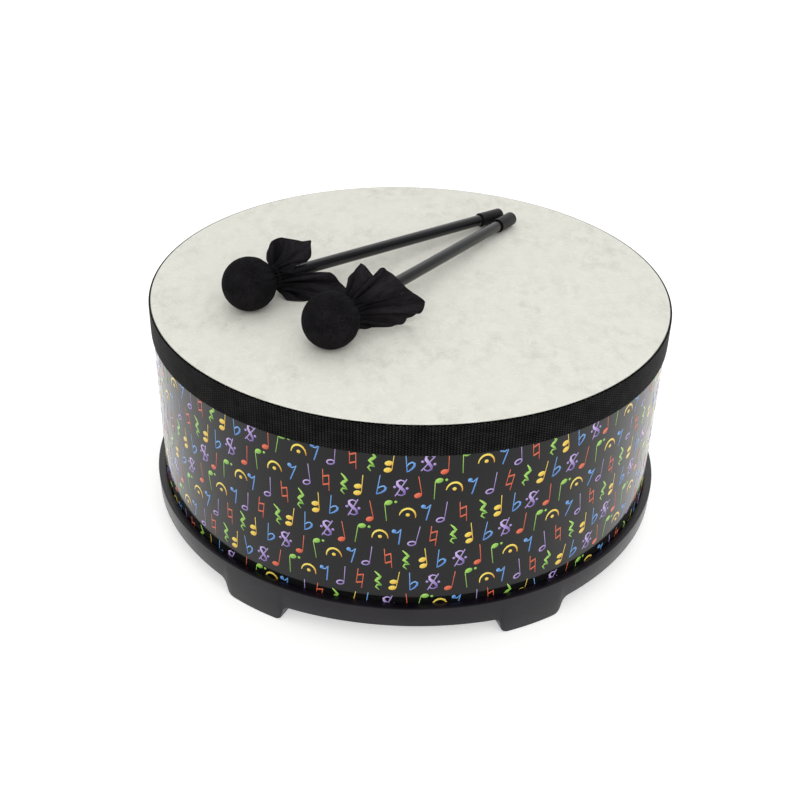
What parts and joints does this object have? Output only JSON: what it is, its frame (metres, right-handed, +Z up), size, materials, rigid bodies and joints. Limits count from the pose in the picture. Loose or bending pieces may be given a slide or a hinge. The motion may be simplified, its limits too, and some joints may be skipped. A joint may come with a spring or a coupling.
{
  "type": "floor drum",
  "caption": "Low open-bottomed floor drum: a cream fibre head with webbing trim on a film-wrapped tube, a moulded base ring with feet, and cloth-headed mallets lying on the head.",
  "frame": {"origin": "on the drum's axis at floor level, where the feet stand", "axes": "+Z up along the drum's axis, -Y towards the front as pictured, +X to the right"},
  "size_m": [0.4198, 0.4198, 0.2309],
  "materials": {
    "wound_fibre": "raw wound fibre tube, matt",
    "fibre_head": "cream felted fibre, mottled and matt",
    "black_webbing": "black ribbed webbing",
    "printed_film": "charcoal film with coloured printed symbols, gloss",
    "moulded_base": "black moulding, satin, fine grain",
    "zinc_screw": "zinc plate",
    "turned_core": "bare turned wood, hidden",
    "handle_paint": "black rod, satin",
    "vinyl_cap": "black dipped vinyl",
    "mallet_cloth": "black woven cloth, matt",
    "tie_cord": "black waxed cord"
  },
  "bodies": {
    "drum": {"shell": "wound_fibre", "drumhead": "fibre_head", "webbing": "black_webbing", "wrap": "printed_film", "base_ring": "moulded_base", "base_screw_1": "zinc_screw", "base_screw_2": "zinc_screw", "base_screw_3": "zinc_screw", "base_screw_4": "zinc_screw", "base_screw_5": "zinc_screw", "base_screw_6": "zinc_screw"},
    "rear_mallet": {"rear_mallet_core": "turned_core", "rear_mallet_handle": "handle_paint", "rear_mallet_end_cap": "vinyl_cap", "rear_mallet_cloth": "mallet_cloth", "rear_mallet_tie": "tie_cord"},
    "front_mallet": {"front_mallet_core": "turned_core", "front_mallet_handle": "handle_paint", "front_mallet_end_cap": "vinyl_cap", "front_mallet_cloth": "mallet_cloth", "front_mallet_tie": "tie_cord"}
  },
  "joints": [
    {"name": "rear_mallet_lift", "type": "slide", "parent": "drum", "child": "rear_mallet", "axis": [0, 0, 1], "range_m": [0, 0.2]},
    {"name": "front_mallet_lift", "type": "slide", "parent": "drum", "child": "front_mallet", "axis": [0, 0, 1], "range_m": [0, 0.2]}
  ]
}
